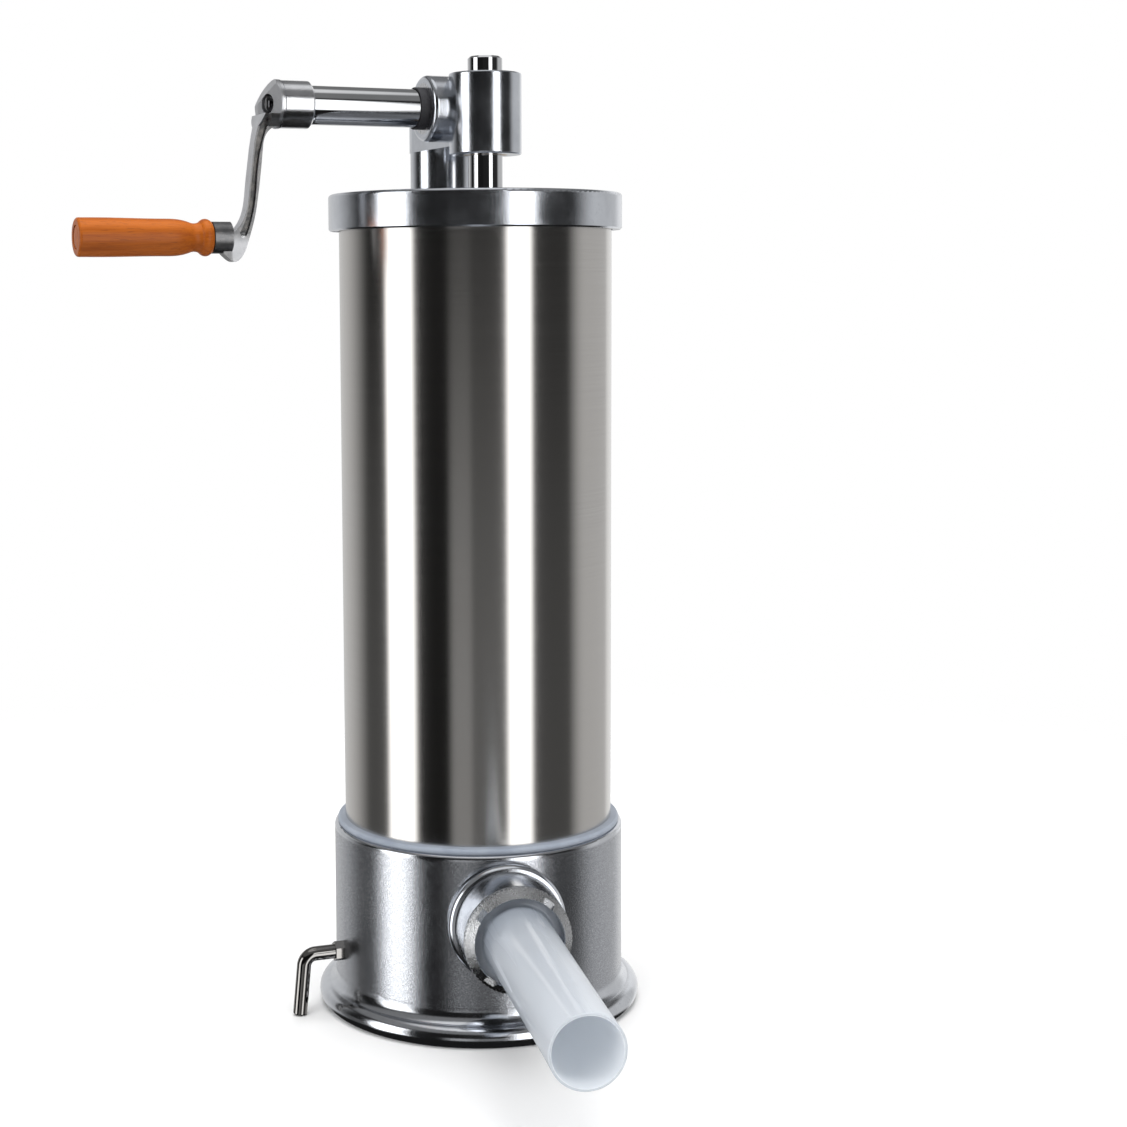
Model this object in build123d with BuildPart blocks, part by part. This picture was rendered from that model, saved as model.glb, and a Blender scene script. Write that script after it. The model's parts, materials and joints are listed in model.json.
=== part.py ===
from build123d import *
from math import atan2, cos, pi, radians, sin, sqrt, tan
import os

# Vertical crank-driven sausage stuffer, millimetres.
# Origin: centre of the base's underside, on the cylinder axis. +Z up, outlet towards -Y.
# The cover, drive head and crank share a second frame, turned about Z by HEAD_TURN,
# in which the crank points along -X and the support post stands on +Y behind the rod.

os.makedirs("parts", exist_ok=True)

# ---- driving dimensions -------------------------------------------------------------
HEAD_TURN = 14.0

TUBE_R = 80.0            # stainless cylinder, outside
TUBE_WALL = 1.2
TUBE_FOOT_Z = 103.0
TUBE_TOP_Z = 476.5

BASE_R = 86.5
BASE_TOP_Z = 109.0
FLANGE_R = 96.6
BASE_FLOOR_Z = 48.0      # floor of the meat chamber
RECESS_TOP_Z = 42.0      # roof of the hollow underside
RECESS_R = 80.0
CHAMBER_R = 76.0
SEAT_Z = 101.0
SEAT_R = 81.4

OUTLET_Z = 71.7
OUTLET_BORE_R = 20.0
SOCKET_STEM_R = 23.5     # the outlet socket's stem, in the base's wall
BEAD_R = 33.8
BEAD_BACK = 88.0         # distances from the cylinder axis
BEAD_FRONT = 94.0
SHOULDER = 97.0
NOSE_R = 26.5            # threaded nose for the ring nut
NOSE_FACE = 117.5
NUT_ROOT_R = 30.8
NUT_R = 30.1
NUT_RIM_BACK = 119.8
NUT_RIM_FRONT = 122.9
NUT_FACE = 127.0
NUT_MOUTH_R = 25.3
KNURLS = 72
SPOUT_END = 285.0
SPOUT_R = 19.2
SPOUT_ROOT_R = 19.8
SPOUT_BORE_R = 17.7

LEVER_ANGLE = 190.0      # where the lever leaves the base, about Z from +X
LEVER_Z = 36.0
LEVER_R = 4.2
LEVER_REACH = 109.5
LEVER_FOOT_Z = 0.6

LID_R = 86.0
LID_FOOT_Z = 461.0
LID_TOP_Z = 482.0
LID_PLATE = 4.0
LID_BORE_R = 80.6
PIN_Z = 466.5
PIN_R = 3.0
PIN_TIP_R = 83.2
LOCK_TURN = 28.0         # twist that frees the cover
FIRST_PIN = 203.0
PIN_COUNT = 3

ROD_Y = -15.0            # rod axis in the head frame
ROD_R = 10.0
ROD_TOP_Z = 560.0
STROKE = 330.0
POST_Y = 48.0
POST_R = 19.3
JOINT_Z = 509.0          # where the drive head stands on the post

BARREL_R = 21.0
BARREL_FOOT_Z = 504.0
BARREL_TOP_Z = 550.5
SHAFT_Z = 531.2
SHAFT_R = 11.0
HOUSING_R = 19.0
HOUSING_LEFT = -31.0
HOUSING_RIGHT = 21.5

MODULE = 2.0
TEETH = 12
PRESSURE_ANGLE = 25.0
BACKLASH = 0.3
RACK_LINE = 7.5          # rack pitch line, measured from the rod axis
PINION_WIDTH = 16.0
PITCH_R = MODULE * TEETH / 2
PITCH = pi * MODULE
SHAFT_Y = ROD_Y + RACK_LINE + PITCH_R

HUB_INNER = -101.2
HUB_FACE = -121.0
HUB_R = 13.4
CRANK_DROP = 74.7        # shaft axis to grip axis
GRIP_Z = SHAFT_Z - CRANK_DROP
FERRULE_END = -159.7
GRIP_END = -236.3

PISTON_FOOT_Z = 112.0
PISTON_THICK = 12.0
PISTON_R = 77.6
RUNNING = 0.05           # radial clearance of a shaft in its bush

# ---- frames -------------------------------------------------------------------------
HEAD_X = Vector(cos(radians(HEAD_TURN)), sin(radians(HEAD_TURN)), 0)
HEAD_Y = Vector(-sin(radians(HEAD_TURN)), cos(radians(HEAD_TURN)), 0)
UP = Vector(0, 0, 1)


def head_point(x, y, z):
    """A point given in the head frame, in the part's own frame."""
    return HEAD_X * x + HEAD_Y * y + UP * z


def level(x, y, z):
    """Horizontal plane at a head-frame point; extrusions rise."""
    return Plane(origin=head_point(x, y, z), x_dir=HEAD_X, z_dir=UP)


def upright(y):
    """Plane of the head frame's X and Z; extrusions go towards the front."""
    return Plane(origin=head_point(0, y, 0), x_dir=HEAD_X, z_dir=-HEAD_Y)


def across(x, z=SHAFT_Z):
    """Plane square to the crank shaft at x; extrusions go outwards, along -X."""
    return Plane(origin=head_point(x, SHAFT_Y, z), x_dir=-HEAD_Y, z_dir=-HEAD_X)


def outlet_plane(distance):
    """Plane square to the outlet; extrusions go outwards, along -Y."""
    return Plane(origin=(0, -distance, OUTLET_Z), x_dir=(1, 0, 0), z_dir=(0, -1, 0))


def save(builder, name):
    builder.part.label = name
    export_step(builder.part, f"parts/{name}.step")


def ring_on(plane, outer, inner, length, name):
    """A plain ring, such as a bush, washer or flat seal."""
    with BuildPart() as ring:
        with BuildSketch(plane):
            Circle(outer)
            Circle(inner, mode=Mode.SUBTRACT)
        extrude(amount=length)
    save(ring, name)


# ---- base ---------------------------------------------------------------------------
LEVER_AXIS = Vector(cos(radians(LEVER_ANGLE)), sin(radians(LEVER_ANGLE)), 0)


def lever_plane(distance):
    """Plane square to the lever's pivot axis; extrusions go outwards."""
    return Plane(origin=LEVER_AXIS * distance + UP * LEVER_Z, x_dir=UP, z_dir=LEVER_AXIS)


with BuildPart() as base_casting:
    with BuildSketch(Plane.XZ):
        with BuildLine():
            l1 = Line((RECESS_R, 0), (FLANGE_R - 4, 0))
            l2 = ThreePointArc(l1 @ 1, (FLANGE_R, 6), (FLANGE_R - 6.4, 12.6))
            l3 = ThreePointArc(l2 @ 1, (BASE_R + 1.1, 15.4), (BASE_R, 21))
            l4 = Line(l3 @ 1, (BASE_R, BASE_TOP_Z))
            l5 = Polyline(l4 @ 1, (SEAT_R, BASE_TOP_Z), (SEAT_R, SEAT_Z), (CHAMBER_R, SEAT_Z))
            l6 = Line(l5 @ 1, (CHAMBER_R, BASE_FLOOR_Z))
            l7 = Line(l6 @ 1, (0, BASE_FLOOR_Z))
            l8 = Line(l7 @ 1, (0, RECESS_TOP_Z))
            l9 = Line(l8 @ 1, (RECESS_R, RECESS_TOP_Z))
            Line(l9 @ 1, l1 @ 0)
        make_face()
    revolve(axis=Axis.Z)
    rim = base_casting.edges().filter_by(GeomType.CIRCLE).filter_by_position(
        Axis.Z, BASE_TOP_Z - 0.01, BASE_TOP_Z + 0.01).sort_by(SortBy.RADIUS)[-1]
    fillet(rim, 2.2)
    with BuildSketch(outlet_plane(CHAMBER_R - 20)):
        Circle(SOCKET_STEM_R)
    extrude(amount=40, mode=Mode.SUBTRACT)
    with BuildSketch(lever_plane(RECESS_R - 8)):
        Circle(LEVER_R + RUNNING + 0.02)
    extrude(amount=20, mode=Mode.SUBTRACT)
save(base_casting, "base_casting")

# Silicone seal: a lip under the cylinder, a sleeve in the seat and a proud band on the rim.
with BuildPart() as cylinder_gasket:
    with BuildSketch(Plane.XZ):
        with BuildLine():
            g1 = Polyline((CHAMBER_R + 0.4, SEAT_Z), (SEAT_R, SEAT_Z), (SEAT_R, BASE_TOP_Z))
            g2 = Line(g1 @ 1, (83.9, BASE_TOP_Z))
            g3 = ThreePointArc(g2 @ 1, (84.6, 110.8), (83.4, 112.5))
            g4 = Polyline(g3 @ 1, (TUBE_R, 112.9), (TUBE_R, TUBE_FOOT_Z))
            g5 = Line(g4 @ 1, (CHAMBER_R + 0.4, TUBE_FOOT_Z))
            Line(g5 @ 1, g1 @ 0)
        make_face()
    revolve(axis=Axis.Z)
save(cylinder_gasket, "cylinder_gasket")

with BuildPart() as cylinder_tube:
    with BuildSketch(Plane.XY.offset(TUBE_FOOT_Z)):
        Circle(TUBE_R)
        Circle(TUBE_R - TUBE_WALL, mode=Mode.SUBTRACT)
    extrude(amount=TUBE_TOP_Z - TUBE_FOOT_Z)
save(cylinder_tube, "cylinder_tube")


def pin_plane(index, distance):
    """Plane square to a bayonet pin, at a distance from the cylinder axis."""
    angle = radians(FIRST_PIN + index * 360 / PIN_COUNT)
    direction = Vector(cos(angle), sin(angle), 0)
    return Plane(origin=direction * distance + UP * PIN_Z, x_dir=UP, z_dir=direction)


with BuildPart() as bayonet_pins:
    for index in range(PIN_COUNT):
        with BuildSketch(pin_plane(index, TUBE_R)):
            Circle(PIN_R)
        extrude(amount=PIN_TIP_R - TUBE_R)
save(bayonet_pins, "bayonet_pins")

# ---- side lever ---------------------------------------------------------------------
LEVER_SIDE = Plane(origin=(0, 0, 0), x_dir=LEVER_AXIS, z_dir=LEVER_AXIS.cross(UP))
LEVER_LEAN = tan(radians(5.5)) * (LEVER_Z - LEVER_FOOT_Z)

with BuildPart() as lock_lever:
    with BuildLine(LEVER_SIDE) as lever_route:
        FilletPolyline((RECESS_R - 7, LEVER_Z), (LEVER_REACH, LEVER_Z),
                       (LEVER_REACH + LEVER_LEAN, LEVER_FOOT_Z), radius=7)
    with BuildSketch(lever_plane(RECESS_R - 7)):
        Circle(LEVER_R)
    sweep(path=lever_route.wires()[0])
    chamfer(lock_lever.faces().sort_by(Axis.Z)[0].edges(), 0.6)
save(lock_lever, "lock_lever")

with BuildPart() as lever_collar:
    with BuildSketch(lever_plane(BASE_R - 1)):
        RegularPolygon(6.0, 6)
        Circle(LEVER_R + RUNNING, mode=Mode.SUBTRACT)
    extrude(amount=6)
    with BuildSketch(Plane.XY):
        Circle(BASE_R)
    extrude(amount=BASE_TOP_Z, mode=Mode.SUBTRACT)
save(lever_collar, "lever_collar")

ring_on(lever_plane(RECESS_R - 5), 5.6, LEVER_R, 1.6, "lever_clip")

# ---- outlet -------------------------------------------------------------------------
NUT_BACK = SHOULDER + 0.2
GASKET_THICK = 1.0
SPOUT_BACK = NOSE_FACE + GASKET_THICK
FLANGE_THICK = 3.0
LIP_BACK = SPOUT_BACK + FLANGE_THICK + 0.2
LIP_R = 24.8
OUTLET_AXIS = Axis((0, 0, OUTLET_Z), (0, -1, 0))
OUTLET_SECTION = Plane(origin=(0, 0, OUTLET_Z), x_dir=(0, -1, 0), z_dir=(-1, 0, 0))

# Socket: a saddle flange on the base's wall, a stem through it and the nose for the nut.
with BuildPart() as outlet_socket:
    with BuildSketch(OUTLET_SECTION):
        with BuildLine():
            k1 = Polyline((CHAMBER_R, 0), (CHAMBER_R, BEAD_R - 1.2), (BEAD_BACK, BEAD_R - 1.2))
            k2 = ThreePointArc(k1 @ 1, ((BEAD_BACK + BEAD_FRONT) / 2, BEAD_R), (BEAD_FRONT, BEAD_R - 1.6))
            k3 = Polyline(k2 @ 1, (BEAD_FRONT + 0.5, NUT_ROOT_R - 0.7), (BEAD_FRONT + 1.3, NUT_ROOT_R - 0.7),
                          (BEAD_FRONT + 1.6, NUT_ROOT_R), (SHOULDER, NUT_ROOT_R), (SHOULDER, NOSE_R),
                          (NOSE_FACE - 0.8, NOSE_R), (NOSE_FACE, NOSE_R - 0.8), (NOSE_FACE, 0))
            Line(k3 @ 1, k1 @ 0)
        make_face()
    revolve(axis=OUTLET_AXIS)
    with BuildSketch(Plane.XY):
        Circle(BASE_R)
    extrude(amount=BASE_TOP_Z, mode=Mode.SUBTRACT)
    with BuildSketch(outlet_plane(CHAMBER_R - 10)):
        Circle(SOCKET_STEM_R)
    extrude(amount=BASE_R - CHAMBER_R + 12)
    with BuildSketch(Plane.XY):
        Circle(CHAMBER_R)
    extrude(amount=BASE_TOP_Z, mode=Mode.SUBTRACT)
    with BuildSketch(outlet_plane(CHAMBER_R - 20)):
        Circle(OUTLET_BORE_R)
    extrude(amount=NOSE_FACE - CHAMBER_R + 20, mode=Mode.SUBTRACT)
save(outlet_socket, "outlet_socket")

ring_on(outlet_plane(NOSE_FACE), NOSE_R - 0.5, OUTLET_BORE_R, GASKET_THICK, "tube_gasket")

with BuildPart() as stuffing_tube:
    with BuildSketch(OUTLET_SECTION):
        with BuildLine():
            s1 = Polyline((SPOUT_BACK, SPOUT_BORE_R), (SPOUT_BACK, NOSE_R - 0.5),
                          (SPOUT_BACK + FLANGE_THICK, NOSE_R - 0.5),
                          (SPOUT_BACK + FLANGE_THICK, SPOUT_ROOT_R + 1.5))
            s2 = RadiusArc(s1 @ 1, (SPOUT_BACK + FLANGE_THICK + 1.5, SPOUT_ROOT_R), -1.5)
            s3 = Polyline(s2 @ 1, (SPOUT_END - 40, SPOUT_R), (SPOUT_END - 0.5, SPOUT_R),
                          (SPOUT_END, SPOUT_R - 0.5), (SPOUT_END, SPOUT_BORE_R))
            Line(s3 @ 1, s1 @ 0)
        make_face()
    revolve(axis=OUTLET_AXIS)
save(stuffing_tube, "stuffing_tube")

# Ring nut: smooth skirt, fine knurl on the rim, conical face with four spanner slots.
with BuildPart() as ring_nut:
    with BuildSketch(OUTLET_SECTION):
        with BuildLine():
            n1 = Polyline((NUT_BACK, NOSE_R + 0.3), (NUT_BACK, NUT_ROOT_R), (NUT_RIM_BACK - 0.7, NUT_R),
                          (NUT_RIM_BACK - 0.4, NUT_R - 0.5), (NUT_RIM_BACK, NUT_R - 0.5),
                          (NUT_RIM_BACK, NUT_R), (NUT_RIM_FRONT, NUT_R), (NUT_FACE, NUT_MOUTH_R),
                          (NUT_FACE - 0.5, LIP_R), (LIP_BACK, LIP_R), (LIP_BACK, NOSE_R + 0.3))
            Line(n1 @ 1, n1 @ 0)
        make_face()
    revolve(axis=OUTLET_AXIS)
    with BuildSketch(outlet_plane(NUT_RIM_BACK)):
        with PolarLocations(NUT_R + 0.5, KNURLS):
            Circle(0.9)
    extrude(amount=NUT_FACE - NUT_RIM_BACK, mode=Mode.SUBTRACT)
    with BuildSketch(outlet_plane(NUT_FACE - 2.5)):
        with PolarLocations(NUT_MOUTH_R + 1, 4, start_angle=52):
            Rectangle(5, 7)
    extrude(amount=2.5, mode=Mode.SUBTRACT)
save(ring_nut, "ring_nut")

# ---- cover --------------------------------------------------------------------------
GROOVE_LOW = PIN_Z - PIN_R - 0.5
GROOVE_HIGH = PIN_Z + PIN_R + 0.5
GROOVE_R = PIN_TIP_R + 0.7
SLOT_HALF = 3.0          # half the slot's width, in degrees at the skirt
GROOVE_START = -3.0      # the groove runs a little past the locked pin

with BuildPart() as lid_casting:
    with BuildSketch(Plane.XY.offset(LID_FOOT_Z)):
        Circle(LID_R)
    extrude(amount=LID_TOP_Z - LID_FOOT_Z)
    fillet(lid_casting.edges().group_by(Axis.Z)[-1], 2.0)
    chamfer(lid_casting.edges().group_by(Axis.Z)[0], 0.9)
    with BuildSketch(Plane.XY.offset(LID_FOOT_Z)):
        Circle(LID_BORE_R)
    extrude(amount=LID_TOP_Z - LID_PLATE - LID_FOOT_Z, mode=Mode.SUBTRACT)
    with BuildSketch(level(0, POST_Y, LID_TOP_Z - LID_PLATE)):
        Circle(POST_R)
    extrude(amount=JOINT_Z - LID_TOP_Z + LID_PLATE)
    post_foot = lid_casting.edges().filter_by(GeomType.CIRCLE).filter_by_position(
        Axis.Z, LID_TOP_Z - 0.01, LID_TOP_Z + 0.01).sort_by(SortBy.RADIUS)[0]
    fillet(post_foot, 2.5)
    with BuildSketch(level(0, ROD_Y, LID_TOP_Z - LID_PLATE)):
        Circle(ROD_R + 0.6)
    extrude(amount=LID_PLATE, mode=Mode.SUBTRACT)
    with BuildSketch(level(0, ROD_Y, LID_TOP_Z - LID_PLATE)):
        Circle(14)
    extrude(amount=2, mode=Mode.SUBTRACT)
    with BuildSketch(level(0, POST_Y, JOINT_Z - 22)):
        Circle(5)
    extrude(amount=22, mode=Mode.SUBTRACT)
    with BuildSketch(level(0, POST_Y - 12, JOINT_Z - 8)):
        Circle(3)
    extrude(amount=8, mode=Mode.SUBTRACT)
    # Bayonet: an entry slot open at the foot, then a level groove to the locked end.
    for index in range(PIN_COUNT):
        locked = FIRST_PIN + index * 360 / PIN_COUNT
        for low, high, sweep_from, sweep_to in (
                (GROOVE_LOW, GROOVE_HIGH, -LOCK_TURN - SLOT_HALF, -GROOVE_START),
                (LID_FOOT_Z, GROOVE_HIGH, -LOCK_TURN - SLOT_HALF, -LOCK_TURN + SLOT_HALF)):
            with BuildSketch(Plane.XY.offset(low)):
                with BuildLine():
                    a1 = CenterArc((0, 0), GROOVE_R, locked + sweep_from, sweep_to - sweep_from)
                    a2 = CenterArc((0, 0), LID_BORE_R - 1, locked + sweep_from, sweep_to - sweep_from)
                    Line(a1 @ 0, a2 @ 0)
                    Line(a1 @ 1, a2 @ 1)
                make_face()
            extrude(amount=high - low, mode=Mode.SUBTRACT)
save(lid_casting, "lid_casting")

LID_UNDER = LID_TOP_Z - LID_PLATE
ring_on(Plane.XY.offset(TUBE_TOP_Z), LID_BORE_R - 0.1, TUBE_R - 5, LID_UNDER - TUBE_TOP_Z, "lid_gasket")
ring_on(level(0, ROD_Y, LID_UNDER), 14, ROD_R + 0.3, 2, "rod_wiper")

# ---- drive head ---------------------------------------------------------------------
CHAMBER_HALF = PINION_WIDTH / 2 + 1
PINION_CLEAR_R = PITCH_R + MODULE + 0.6
BUSH_R = 12.8
END_JOURNAL_R = 6.5
END_BUSH_R = 9.0
REAR_TOP_Z = 541.0

with BuildPart() as head_casting:
    with BuildSketch(level(0, (ROD_Y + POST_Y) / 2, JOINT_Z)):
        SlotCenterToCenter(POST_Y - ROD_Y, 2 * (POST_R + 0.5), rotation=90)
    extrude(amount=BARREL_TOP_Z - JOINT_Z - 1.5)
    # The top falls away from the shaft housing to the rear boss.
    with BuildSketch(Plane(origin=head_point(30, 0, 0), x_dir=HEAD_Y, z_dir=HEAD_X)):
        Polygon((SHAFT_Y + 6, BARREL_TOP_Z), (POST_Y - 10, REAR_TOP_Z + 2), (POST_Y + 30, REAR_TOP_Z - 2),
                (POST_Y + 30, BARREL_TOP_Z + 9), (SHAFT_Y + 6, BARREL_TOP_Z + 9), align=None)
    extrude(amount=-60, mode=Mode.SUBTRACT)
    fillet(head_casting.edges().filter_by(lambda e: e.center().Z > REAR_TOP_Z - 6), 3)
    with BuildSketch(level(0, ROD_Y, BARREL_FOOT_Z)):
        Circle(BARREL_R)
    extrude(amount=BARREL_TOP_Z - BARREL_FOOT_Z)
    with BuildSketch(across(HOUSING_RIGHT)):
        Circle(HOUSING_R)
    extrude(amount=HOUSING_RIGHT - HOUSING_LEFT)
    barrel_rims = head_casting.edges().filter_by(GeomType.CIRCLE).filter_by(
        lambda e: abs(e.radius - BARREL_R) < 0.01)
    fillet(barrel_rims.sort_by(Axis.Z)[0], 1.2)
    fillet(barrel_rims.sort_by(Axis.Z)[-1], 1.2)
    housing_rims = head_casting.edges().filter_by(GeomType.CIRCLE).filter_by(
        lambda e: abs(e.radius - HOUSING_R) < 0.01).sort_by(lambda e: e.center().dot(HEAD_X))
    fillet(housing_rims[0], 2.5)
    # Rod bore, bush seats, pinion chamber and shaft bores.
    with BuildSketch(level(0, ROD_Y, BARREL_FOOT_Z)):
        Circle(ROD_R + 0.6)
    extrude(amount=BARREL_TOP_Z - BARREL_FOOT_Z, mode=Mode.SUBTRACT)
    with BuildSketch(level(0, ROD_Y, BARREL_FOOT_Z)):
        Circle(BUSH_R)
    extrude(amount=12, mode=Mode.SUBTRACT)
    with BuildSketch(level(0, ROD_Y, BARREL_TOP_Z - 4.6)):
        Circle(BUSH_R)
    extrude(amount=4.6, mode=Mode.SUBTRACT)
    with BuildSketch(across(CHAMBER_HALF)):
        Circle(PINION_CLEAR_R)
    extrude(amount=CHAMBER_HALF - HOUSING_LEFT, mode=Mode.SUBTRACT)
    with BuildSketch(across(HOUSING_RIGHT)):
        Circle(END_BUSH_R)
    extrude(amount=HOUSING_RIGHT - CHAMBER_HALF, mode=Mode.SUBTRACT)
    with BuildSketch(level(0, POST_Y, JOINT_Z)):
        Circle(5.5)
    extrude(amount=40, mode=Mode.SUBTRACT)
    with BuildSketch(level(0, POST_Y, REAR_TOP_Z - 12)):
        Circle(8.6)
    extrude(amount=20, mode=Mode.SUBTRACT)
    with BuildSketch(level(0, POST_Y - 12, JOINT_Z)):
        Circle(3)
    extrude(amount=8, mode=Mode.SUBTRACT)
save(head_casting, "head_casting")

ring_on(level(0, ROD_Y, BARREL_FOOT_Z), BUSH_R, ROD_R + RUNNING, 12, "rod_bush_lower")
ring_on(level(0, ROD_Y, BARREL_TOP_Z - 4.6), BUSH_R, ROD_R + RUNNING, 4.6, "rod_bush_upper")
ring_on(across(-CHAMBER_HALF), PINION_CLEAR_R, SHAFT_R + RUNNING, -CHAMBER_HALF - HOUSING_LEFT, "shaft_bush")
ring_on(across(HOUSING_RIGHT), END_BUSH_R, END_JOURNAL_R + RUNNING, HOUSING_RIGHT - CHAMBER_HALF, "shaft_end_bush")
ring_on(across(HOUSING_LEFT), SHAFT_R + 1.1, SHAFT_R + 0.3, 5.4, "shaft_seal")


def socket_screw(plane, head_r, head_length, shank_r, shank_length, name):
    """Socket-head screw: the plane is under the head, and the shank goes the other way."""
    with BuildPart() as screw:
        with BuildSketch(plane):
            Circle(head_r)
        extrude(amount=head_length)
        chamfer(screw.edges().filter_by(GeomType.CIRCLE).sort_by(
            lambda e: -plane.to_local_coords(e.center()).Z)[0], 0.5)
        with BuildSketch(plane.offset(head_length)):
            RegularPolygon(head_r * 0.55, 6)
        extrude(amount=-head_length * 0.55, mode=Mode.SUBTRACT)
        with BuildSketch(plane):
            Circle(shank_r)
        extrude(amount=-shank_length)
    save(screw, name)


socket_screw(level(0, POST_Y, REAR_TOP_Z - 12), 8, 9, 5, REAR_TOP_Z - 12 - JOINT_Z + 20, "head_screw")

with BuildPart() as head_dowel:
    with BuildSketch(level(0, POST_Y - 12, JOINT_Z - 8)):
        Circle(3)
    extrude(amount=16)
save(head_dowel, "head_dowel")

# ---- crank shaft and pinion ---------------------------------------------------------
SEAT_SHAFT_R = 7.2      # shaft under the pinion
HUB_SHAFT_R = 9.0       # shaft inside the crank's hub
KEY = 3.0
KEY_HIGH = 2.8

with BuildPart() as crank_shaft:
    with BuildSketch(across(HOUSING_RIGHT + 0.5)):
        Circle(END_JOURNAL_R)
    extrude(amount=HOUSING_RIGHT + 0.5 - PINION_WIDTH / 2)
    with BuildSketch(across(PINION_WIDTH / 2)):
        Circle(SEAT_SHAFT_R)
    extrude(amount=PINION_WIDTH)
    with BuildSketch(across(-PINION_WIDTH / 2)):
        Circle(SHAFT_R)
    extrude(amount=-PINION_WIDTH / 2 - HUB_INNER)
    with BuildSketch(across(HUB_INNER)):
        Circle(HUB_SHAFT_R)
    extrude(amount=HUB_INNER - HUB_FACE - 4)
    with BuildSketch(across(HOUSING_RIGHT + 0.5)):
        Circle(3)
    extrude(amount=14, mode=Mode.SUBTRACT)
    with BuildSketch(across(HUB_FACE + 4)):
        Circle(3)
    extrude(amount=-16, mode=Mode.SUBTRACT)
    with BuildSketch(across(PINION_WIDTH / 2 - 1)):
        with Locations((0, SEAT_SHAFT_R)):
            Rectangle(KEY, KEY_HIGH)
    extrude(amount=PINION_WIDTH - 2, mode=Mode.SUBTRACT)
    with BuildSketch(across(HUB_INNER - 2)):
        with Locations((0, HUB_SHAFT_R)):
            Rectangle(KEY, KEY_HIGH)
    extrude(amount=12, mode=Mode.SUBTRACT)
save(crank_shaft, "crank_shaft")

with BuildPart() as pinion_key:
    with BuildSketch(across(PINION_WIDTH / 2 - 1)):
        with Locations((0, SEAT_SHAFT_R)):
            Rectangle(KEY, KEY_HIGH)
    extrude(amount=PINION_WIDTH - 2)
save(pinion_key, "pinion_key")

with BuildPart() as crank_key:
    with BuildSketch(across(HUB_INNER - 2)):
        with Locations((0, HUB_SHAFT_R)):
            Rectangle(KEY, KEY_HIGH)
    extrude(amount=12)
save(crank_key, "crank_key")


def involute_angle(radius, base_radius):
    """Polar angle that an involute has turned through at a radius."""
    roll = sqrt(max((radius / base_radius) ** 2 - 1, 0))
    return roll - atan2(roll, 1)


BASE_CIRCLE = PITCH_R * cos(radians(PRESSURE_ANGLE))
TIP_R = PITCH_R + 0.9 * MODULE
ROOT_R = PITCH_R - 1.2 * MODULE
FLANK_STEPS = 5
# Half the angle of a tooth at the pitch circle, thinned by the backlash.
HALF_TOOTH = pi / (2 * TEETH) - BACKLASH / (2 * PITCH_R)


def tooth_outline(centre):
    """Points up one flank and down the other of the tooth centred at an angle."""
    rising = [(ROOT_R, HALF_TOOTH + involute_angle(PITCH_R, BASE_CIRCLE))]
    for step in range(FLANK_STEPS + 1):
        radius = BASE_CIRCLE + (TIP_R - BASE_CIRCLE) * step / FLANK_STEPS
        turned = involute_angle(radius, BASE_CIRCLE) - involute_angle(PITCH_R, BASE_CIRCLE)
        rising.append((radius, HALF_TOOTH - turned))
    polar = [(r, centre - a) for r, a in rising] + [(r, centre + a) for r, a in reversed(rising)]
    return [(r * cos(a), r * sin(a)) for r, a in polar]


with BuildPart() as pinion:
    # Local x points at the rod, so the first tooth stands in a gap of the rack.
    with BuildSketch(across(PINION_WIDTH / 2)):
        with BuildLine():
            outline = []
            for tooth in range(TEETH):
                outline += tooth_outline(2 * pi * tooth / TEETH)
            Polyline(*outline, close=True)
        make_face()
        Circle(SEAT_SHAFT_R, mode=Mode.SUBTRACT)
        with Locations((0, SEAT_SHAFT_R)):
            Rectangle(KEY, KEY_HIGH, mode=Mode.SUBTRACT)
    extrude(amount=PINION_WIDTH)
save(pinion, "pinion")

ring_on(across(HOUSING_RIGHT + 2.5), 8.8, 3, 2, "shaft_end_washer")


def dome_screw(plane, head_r, head_length, shank_r, shank_length, name):
    """Button-head screw with a hexagon socket; the plane is under the head."""
    with BuildPart() as screw:
        with BuildSketch(plane):
            Circle(head_r)
        extrude(amount=head_length)
        fillet(screw.edges().filter_by(GeomType.CIRCLE).sort_by(
            lambda e: -plane.to_local_coords(e.center()).Z)[0], head_length * 0.85)
        with BuildSketch(plane.offset(head_length)):
            RegularPolygon(head_r * 0.42, 6)
        extrude(amount=-head_length * 0.5, mode=Mode.SUBTRACT)
        with BuildSketch(plane):
            Circle(shank_r)
        extrude(amount=-shank_length)
    save(screw, name)


right_end = Plane(origin=head_point(HOUSING_RIGHT + 2.5, SHAFT_Y, SHAFT_Z), x_dir=HEAD_Y, z_dir=HEAD_X)
dome_screw(right_end, 5.5, 3.4, 3, 14, "shaft_end_screw")

# ---- crank arm ----------------------------------------------------------------------
ARM_WIDTH = 9.0
EYE_R = 13.8
EYE_BACK = -118.6
EYE_FACE = -121.4
SCREW_SEAT = -122.6      # spot face under the crank screw
SEAT_CUT_R = 5.6
FLUTE_DEPTH = 2.2
FERRULE_R = 8.9
FERRULE_BACK = -149.0

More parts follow.
